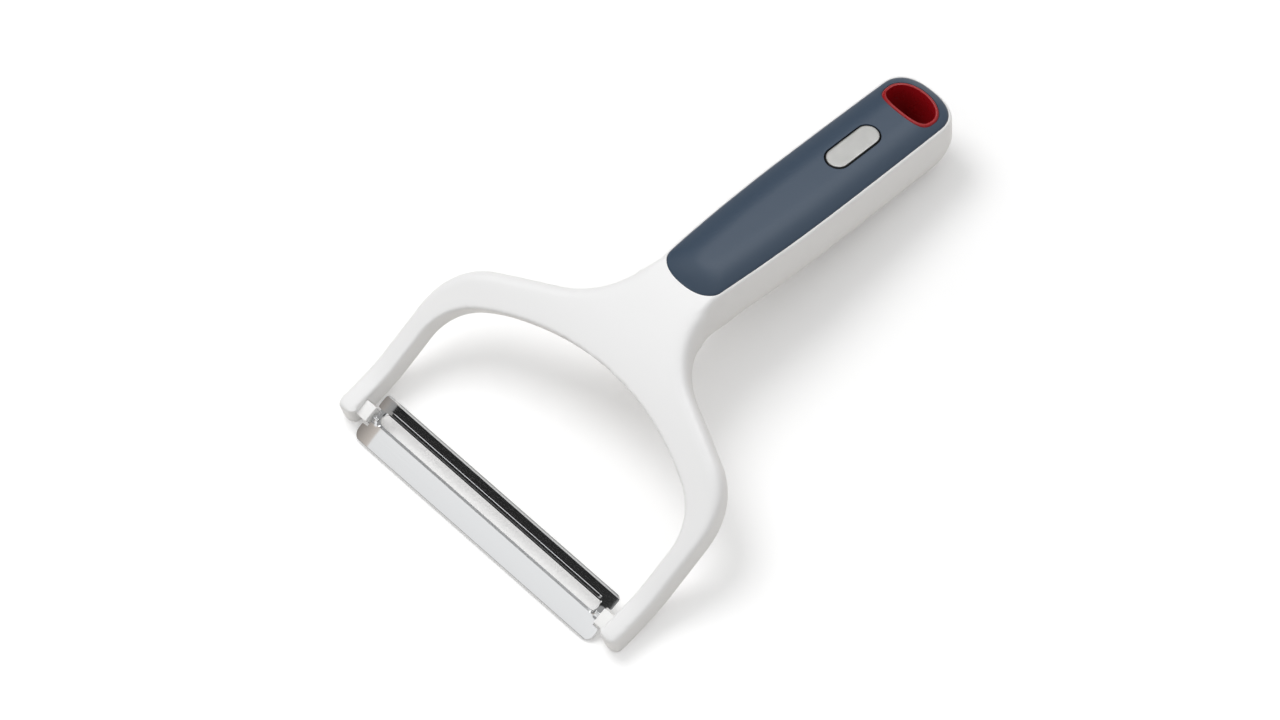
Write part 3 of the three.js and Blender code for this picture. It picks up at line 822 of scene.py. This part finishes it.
def blade_place():
    return Matrix.Translation((0, pivot.y, pivot.z)) @ Matrix.Rotation(sizes("blade").tilt, 4, "X")


def bore(piece, start, end, place):
    """Cuts the hole for a pin along the pivot line of the blade's frame, moved to its place."""
    b = sizes("blade")
    deselect()
    bpy.ops.mesh.primitive_cylinder_add(
        vertices=32, radius=b.pin_radius + b.pin_gap, depth=abs(end - start))
    tool = named("bore_tool")
    middle = Matrix.Translation(((start + end) / 2, 0, 0))
    tool.data.transform(middle @ Matrix.Rotation(QUARTER, 4, "Y"))
    tool.data.transform(place)
    combine(piece, tool)


class PEELER_OT_frame(bpy.types.Operator):
    """Builds the white moulding: arms, neck and hollow handle in one skin"""
    bl_idname = "peeler.frame"
    bl_label = "White moulding"

    def soften_joint(self, piece):
        """Blends the sides and underside of the neck into the handle."""
        joint = piece.vertex_groups.new(name="joint")
        alongs = [i * MM / 2 for i in range(100, 320)]
        places = [side_profile(along) for along in alongs]
        front, rear = places[0][0], places[-1][0]
        for corner in piece.data.vertices:
            spot = int((corner.co.y - front) / (rear - front) * len(places))
            if 0 <= spot < len(places):
                along, top = alongs[spot], places[spot][1]
                weight = smoothstep(along, *JOINT[:2]) * (1 - smoothstep(along, *JOINT[2:]))
                weight *= smoothstep(top - corner.co.z, *JOINT_BELOW)
                if weight > 0:
                    joint.add([corner.index], weight, "REPLACE")
        shape(piece, "SMOOTH", factor=0.5, iterations=100, vertex_group="joint")
        piece.vertex_groups.clear()

    def execute(self, context):
        f, h, b = sizes("frame"), sizes("handle"), sizes("blade")
        piece = yoke_plate()
        handle = handle_solid("handle_work", -h.rim_drop)
        pick(piece)
        handle.select_set(True)
        bpy.ops.object.join()
        piece.name = piece.data.name = "white_moulding"
        shape(piece, "REMESH", mode="VOXEL", voxel_size=f.skin, use_smooth_shade=True)
        shape(piece, "SMOOTH", factor=0.5, iterations=10)
        self.soften_joint(piece)
        for tool in hollow_tools():
            combine(piece, tool)
        combine(piece, hang_column(h.fit))
        for side in (1, -1):
            combine(piece, block_box("socket_tool", side, h.fit))
            bore(piece, side * f.arm_inner_half, side * (f.arm_inner_half + b.pin_depth),
                 blade_place())
        trim_to_floor(piece)
        clear_doubled(piece)
        smooth(piece, 40)
        dress(piece, white_abs("moulded white ABS", sizes("finish").white), "frame",
              "white_plastic", "yoke_frame")
        return {"FINISHED"}


class PEELER_OT_grip(bpy.types.Operator):
    """Builds the crowned soft grip with its hang hole and badge recess"""
    bl_idname = "peeler.grip"
    bl_label = "Soft grip"

    def execute(self, context):
        h = sizes("handle")
        span = h.belly_half - h.crown_flat
        # Height and growth of each layer: the side, its rounded edge and the crown
        layers = [(-h.grip_inset + SEAT, 0), (-0.25 * MM, 0), (0.05 * MM, -0.12 * MM)]
        steps = 16
        for i in range(1, steps + 1):
            inset = span * (i / steps)
            layers.append((max(crown_height(inset), 0.1 * MM), -inset))
        piece = bend(loft("soft_grip", capped(*layers)))
        top = h.crown + h.badge_proud
        floor = top - h.badge_thickness - 0.6 * MM
        combine(piece, bend(column("badge_tool", badge_outline(h.badge_gap), floor, 3 * top)))
        combine(piece, hang_column(h.fit))
        clear_doubled(piece)
        smooth(piece, 40)
        dress(piece, soft_grip(sizes("finish").grip), "frame", "soft_grip", "grip_inlay")
        return {"FINISHED"}


class PEELER_OT_liner(bpy.types.Operator):
    """Builds the red liner of the hang hole"""
    bl_idname = "peeler.liner"
    bl_label = "Hang hole liner"

    def execute(self, context):
        h = sizes("handle")
        outer = [at_height(hang_outline(0, d), -d) for d in reversed(hole_depths)]
        inner = [at_height(hang_outline(-h.liner_wall, d), -d) for d in hole_depths]
        rim = []
        for share, lift in RIM:
            outline = hang_outline(-h.liner_wall * share)
            rim.append([(x, y, crown_at(x, y) + lift * MM) for x, y in outline])
        piece = bend(loft("hang_hole_liner_skin", outer + rim + inner + outer[:1]))
        combine(piece, handle_solid("trim_tool", 10 * MM), "INTERSECT")
        trim_to_floor(piece)
        smooth(piece, 40)
        dress(piece, red_plastic(sizes("finish").red), "frame", "red_plastic", "hang_hole_liner")
        return {"FINISHED"}


class PEELER_OT_badge(bpy.types.Operator):
    """Builds the bare metal badge and finishes the pad under it and the core below the grip"""
    bl_idname = "peeler.badge"
    bl_label = "Badge"

    def execute(self, context):
        h = sizes("handle")
        top = h.crown + h.badge_proud
        low = top - h.badge_thickness
        rings = [at_height(badge_outline(0), low, 0), at_height(badge_outline(0), low)]
        for inset, drop in BADGE_EDGE:
            rings.append(at_height(badge_outline(-inset * MM), top - drop * MM))
        rings.append(at_height(badge_outline(-inset * MM), top, 0))
        piece = bend(loft("badge", rings))
        smooth(piece, 30)
        dress(piece, satin_metal(sizes("finish").badge), "frame", "satin_metal", "badge_plate")
        self.gasket(low)
        core = frame["nodes"]["grip_core"].data.materials
        core.clear()
        core.append(dark_filler("moulded dark nylon", "#2C2E30", 1.2))
        return {"FINISHED"}

    def gasket(self, seat):
        """Black pad under the badge, with a thin black wall that fills the gap round it as painted
        shade for the shadow in that gap.
        """
        h = sizes("handle")
        slack = 0.04 * MM
        wall = h.badge_gap - slack
        top = h.crown - 0.35 * MM
        low = seat - 0.55 * MM
        floor = seat - 0.02 * MM
        steps = [(wall, low, 0), (wall, low, 1), (wall, top - 0.1 * MM, 1),
                 (wall - 0.08 * MM, top, 1), (slack, top, 1), (slack, floor, 1), (slack, floor, 0)]
        rings = [at_height(badge_outline(grow), height, spread) for grow, height, spread in steps]
        piece = bend(loft("badge_pad_shade_wall", rings))
        smooth(piece, 30)
        # Near-black foam: real under the badge, painted shade where its wall shows in the gap
        dress(piece, dark_filler("black foam tape", "#060607", 0.3), "frame", "black_adhesive",
              "badge_pad")


class PEELER_OT_blade(bpy.types.Operator):
    """Builds the pressed steel blade with its slot, ground edge, rib, lip, notches and eyes"""
    bl_idname = "peeler.blade"
    bl_label = "Blade"

    def section(self, x):
        """Ring of the sheet at a place across the peeler: upper face to the front, then back."""
        b, f = sizes("blade"), sizes("frame")
        face = b.thickness / 2
        rib_middle = b.slot_rear + b.rib_setback + b.rib_width / 2
        rib_half = f.arm_inner_half - b.guide_gap - b.rib_end_gap
        past_slot = abs(x) - self.slot_half()
        ground = 1 - smoothstep(past_slot, *GROUND_FADE)
        past = max(abs(x) - rib_half + b.rib_width / 2, 0)
        strip = -b.slot_front - b.bevel
        lip = b.guide_edge - b.lip_width
        fold = b.fold - b.front_edge
        # Places along the section: lip, guide strip, rib, slot, ground edge, front strip and fold
        places = [lip + b.lip_width * i / 8 for i in range(8, -1, -1)] + [lip - 0.1 * MM]
        places += [6.6 * MM, 6.0 * MM, 5.5 * MM, 5.2 * MM]
        places += [rib_middle + b.rib_width * (0.6 - 0.05 * i) for i in range(25)]
        places += [b.slot_rear + 0.02 * MM, 2.4 * MM]
        places += [1.6 * MM - 0.2 * MM * i for i in range(11)]
        places += [-b.slot_front - b.bevel * i / 4 for i in range(5)]
        places += [strip - 0.03 * MM] + [strip + (fold - strip) * i / 20 for i in range(1, 21)]
        places += [fold - b.fold * i / 5 for i in range(1, 6)]
        half = f.arm_inner_half - b.side_gap
        curl = b.end_curl * (max(abs(x) - half + b.curl_length, 0) / b.curl_length) ** 2
        upper, lower = [], []
        for y in places:
            height = -curl
            rise = max(y - lip, 0) / b.lip_width
            height += b.lip_height * (rise if rise > 0.25 else 2 * rise ** 2 + 0.5 * rise)
            away = math.hypot(y - rib_middle, past) / (b.rib_width / 2)
            height += b.rib_height * (1 - smoothstep(away, 0.8, 1))
            fall = max(strip - y, 0) / (b.front_edge + strip)
            height -= b.front_drop * (0.55 * fall + 0.45 * fall ** 2)
            height -= 0.5 * b.fold * (max(fold - y, 0) / b.fold) ** 2
            thin = 0.0
            if strip < y < b.slot_rear and ground > 0:
                near = 1 - (-b.slot_front - y) / b.bevel if y < -b.slot_front else 1
                thin = (b.thickness - b.cutting) * max(near, 0) * ground
            hump = (b.eye_radius - face) * (1 - smoothstep(abs(y) / b.eye_radius, 0.2, 2.9))
            hump *= smoothstep(past_slot, *EYE_RISE)
            short = b.guide_gap - b.side_gap if y > 0 else 0
            border = min(half - abs(x) - short, y + b.front_edge)
            thinned = (b.thickness - b.edge_left) * (1 - smoothstep(border, 0, EDGE_RUN))
            upper.append((x, y, face + height + hump - thin))
            lower.append((x, y, height - hump - face + thinned))
        return upper + lower[::-1]

    def notch_half(self):
        b, f = sizes("blade"), sizes("frame")
        return f.arm_inner_half - b.block_proud - b.swivel_gap

    def slot_half(self):
        return self.notch_half() - sizes("blade").web

    def outline(self):
        """Plan of the blade with a notch round each block."""
        b, f = sizes("blade"), sizes("frame")
        notch = b.block_length / 2 + b.swivel_gap
        inner = self.notch_half()
        front = f.arm_inner_half - b.side_gap
        guide = f.arm_inner_half - b.guide_gap
        soft = 0.5 * MM
        corner = b.front_corner
        right = arc(front - corner, corner - b.front_edge, corner, -QUARTER, 0, 12)
        ahead = -notch - b.notch_ease
        right += arc(front - soft, ahead - soft, soft, 0, QUARTER, 4)
        right += [(inner, ahead), (inner, notch)]
        right += arc(guide - soft, notch + soft, soft, -QUARTER, 0, 4)
        corner = b.guide_corner
        right += arc(guide - corner, b.guide_edge - corner, corner, 0, QUARTER, 8)
        return right + [(-x, y) for x, y in reversed(right)]

    def execute(self, context):
        b, f = sizes("blade"), sizes("frame")
        half = f.arm_inner_half - b.side_gap
        dense = [half - 0.4 * MM * i for i in range(36)]
        inner = dense[-1]
        middle = [inner - 2 * inner * i / 24 for i in range(1, 24)]
        stations = dense + middle + [-x for x in reversed(dense)]
        piece = loft("steel_blade", [self.section(x) for x in stations])
        reach = b.guide_edge + b.front_edge
        combine(piece, column("outline_tool", self.outline(), -reach, reach), "INTERSECT")
        slot_middle = (b.slot_rear - b.slot_front) / 2
        slot = stadium(self.slot_half(), (b.slot_rear + b.slot_front) / 2)
        combine(piece, column("slot_tool", [(x, y + slot_middle) for x, y in slot], -reach, reach))
        for side in (1, -1):
            bore(piece, side * self.slot_half(), side * half, Matrix())
        piece.data.transform(blade_place())
        smooth(piece, 30)
        dress(piece, polished_steel("polished stainless strip", sizes("finish").steel), "blade",
              "polished_steel", "blade")
        return {"FINISHED"}


class PEELER_OT_pivots(bpy.types.Operator):
    """Builds the pivot blocks and finishes the pins"""
    bl_idname = "peeler.pivots"
    bl_label = "Pivot blocks and pins"

    def execute(self, context):
        b, f = sizes("blade"), sizes("frame")
        acetal = white_abs("moulded white acetal", sizes("finish").block)
        wire = polished_steel("drawn stainless wire", sizes("finish").steel)
        for name, side in (("right", 1), ("left", -1)):
            piece = block_box("block_" + name, side, 0, b.block_edge)
            start = f.arm_inner_half - b.block_proud - b.swivel_gap
            bore(piece, side * start, side * 2 * f.arm_inner_half, blade_place())
            smooth(piece, 35)
            dress(piece, acetal, "frame", "block_plastic", "pivot_block_" + name)
            pin = frame["nodes"]["pivot_pin_" + name]
            pin.data.materials.clear()
            pin.data.materials.append(wire)
        return {"FINISHED"}


class PEELER_OT_stage(bpy.types.Operator):
    """Builds the pale floor, the soft light, the cards that the steel reflects and the camera"""
    bl_idname = "peeler.stage"
    bl_label = "Studio"

    def execute(self, context):
        scene = context.scene
        scene.view_settings.view_transform = "Standard"
        self.floor()
        self.surroundings(scene)
        self.lamp("key_light", place=(-0.66, 0.0, 1.23), size=0.75, power=6.4)
        for card in CARDS:
            self.card(*card)
        self.camera(scene)
        return {"FINISHED"}

    def floor(self):
        deselect()
        bpy.ops.mesh.primitive_plane_add(size=8)
        piece = named("studio_floor")
        material, tree, place = blank("matte white sweep")
        tint = blended(tree, noise(tree, place, 6), 0.05, sizes("finish").floor, "#E8E8E8")
        rays = add(tree, "LightPath")
        seen_tint = add(tree, "MixRGB", {
            "Fac": rays.outputs["Is Camera Ray"], "Color1": tint, "Color2": (1, 1, 1, 1)})
        matte = add(tree, "BsdfDiffuse", {"Color": seen_tint.outputs[0]})
        # Painted light: the floor glows to the camera and in reflections, faintly near the handle,
        # which leaves painted shade round it, and more strongly away from it, up to plain white
        away = add(tree, "VectorMath", {
            0: place, 1: (0, 60 * MM, 0)}, operation="DISTANCE")
        level = shade(tree, away.outputs["Value"], 0.06, 0.26, 0.04, 0.3)
        seen = add(tree, "Math", {
            0: rays.outputs["Is Camera Ray"], 1: rays.outputs["Is Glossy Ray"]},
            operation="MAXIMUM")
        glow = add(tree, "Emission", {
            "Color": (1, 1, 1, 1),
            "Strength": add(tree, "Math", {
                0: seen.outputs[0], 1: level}, operation="MULTIPLY").outputs[0]})
        output(tree, add(tree, "AddShader", {0: matte.outputs[0], 1: glow.outputs[0]}))
        piece.data.materials.append(material)

    def surroundings(self, scene):
        """White to the camera, a soft tent lit from overhead to the pieces, grey in reflections."""
        world = bpy.data.worlds.new("white studio")
        world.use_nodes = True
        tree = world.node_tree
        tree.nodes.clear()
        rays = add(tree, "LightPath")
        way = add(tree, "TexCoord").outputs["Generated"]
        height = add(tree, "SeparateXYZ", {0: way}).outputs["Z"]
        tent = shade(tree, height, 0.0, 0.88, 0.1, 0.8)
        glossy = add(tree, "Mix", {
            0: rays.outputs["Is Glossy Ray"], 2: tent, 3: 0.38})
        level = add(tree, "Mix", {
            0: rays.outputs["Is Camera Ray"], 2: glossy.outputs[0], 3: 1.0})
        back = add(tree, "Background", {
            "Color": (1, 1, 1, 1), "Strength": level.outputs[0]})
        add(tree, "OutputWorld", {"Surface": back.outputs[0]})
        scene.world = world

    def lamp(self, name, place, size, power):
        data = bpy.data.lights.new(name, "AREA")
        data.shape, data.size, data.energy = "DISK", size, power
        lamp = bpy.data.objects.new(name, data)
        lamp.location = place
        lamp.rotation_euler = Vector(place).to_track_quat("Z", "Y").to_euler()
        lamp.visible_glossy = False
        bpy.context.scene.collection.objects.link(lamp)

    def card(self, name, place, size, low, high, tone="#FFFFFF", axis="Z"):
        """Card that faces the blade and is seen only in reflections, brighter along one axis."""
        deselect()
        bpy.ops.mesh.primitive_plane_add(size=1)
        piece = named(name)
        sight = (Vector(place) - pivot).normalized()
        across = (Vector((1, 0, 0)) - sight * sight.x).normalized()
        turn = Matrix((across, sight.cross(across), sight)).transposed().to_4x4()
        piece.data.transform(Matrix.Translation(place) @ turn @ Matrix.Diagonal((*size, 1, 1)))
        material, tree, spot = blank("card " + name.replace("_", " "))
        along = add(tree, "SeparateXYZ", {0: spot}).outputs[axis]
        ends = [corner.co["XYZ".index(axis)] for corner in piece.data.vertices]
        level = shade(tree, along, low, high, min(ends), max(ends))
        output(tree, add(tree, "Emission", {"Color": linear(tone), "Strength": level}))
        piece.data.materials.append(material)
        piece.visible_camera = piece.visible_diffuse = piece.visible_shadow = False

    def camera(self, scene):
        data = bpy.data.cameras.new("camera")
        data.sensor_width = 36
        data.lens = FOCAL * data.sensor_width / PHOTO_WIDTH
        data.shift_x, data.shift_y = (shift / PHOTO_WIDTH for shift in SHIFT)
        right = Vector((0.70624, 0.70728, -0.03131))
        up = Vector((-0.60402, 0.62503, 0.49447))
        back = right.cross(up).normalized()
        aim = Vector((0, pivot.y + 59.4 * MM, 0))
        camera = bpy.data.objects.new("camera", data)
        turn = Matrix((right, up, back)).transposed().to_4x4()
        camera.matrix_world = Matrix.Translation(aim + back * 1.6) @ turn
        scene.collection.objects.link(camera)
        scene.camera = camera


class PEELER_PT_panel(bpy.types.Panel):
    """Lists the peeler's pieces"""
    bl_label = "Wide swivel peeler"
    bl_idname = "PEELER_PT_panel"
    bl_space_type = "VIEW_3D"
    bl_region_type = "UI"
    bl_category = "Peeler"

    def draw(self, context):
        for operator in operators:
            self.layout.operator(operator.bl_idname)
        for name in groups:
            for key in sizes(name).bl_rna.properties.keys():
                if key not in ("rna_type", "name"):
                    self.layout.prop(sizes(name), key)


operators = (PEELER_OT_frame, PEELER_OT_grip, PEELER_OT_liner, PEELER_OT_badge, PEELER_OT_blade,
             PEELER_OT_pivots, PEELER_OT_stage)
groups = {"frame": PeelerFrameSizes, "handle": PeelerHandleSizes, "blade": PeelerBladeSizes,
          "finish": PeelerFinishes}


def register():
    for group in groups.values():
        for key, item in group.__annotations__.items():
            item.keywords["name"] = key.replace("_", " ").capitalize()
    for item in (*groups.values(), *operators, PEELER_PT_panel):
        bpy.utils.register_class(item)
    for name, group in groups.items():
        setattr(bpy.types.Scene, "peeler_" + name, bpy.props.PointerProperty(type=group))


def unregister():
    for name in groups:
        delattr(bpy.types.Scene, "peeler_" + name)
    for item in (PEELER_PT_panel, *reversed(operators), *reversed(groups.values())):
        bpy.utils.unregister_class(item)


def main():
    register()
    bpy.ops.peeler.frame()
    bpy.ops.peeler.grip()
    bpy.ops.peeler.liner()
    bpy.ops.peeler.badge()
    bpy.ops.peeler.blade()
    bpy.ops.peeler.pivots()
    bpy.ops.peeler.stage()
    bpy.context.view_layer.update()


if __name__ == "__main__":
    main()
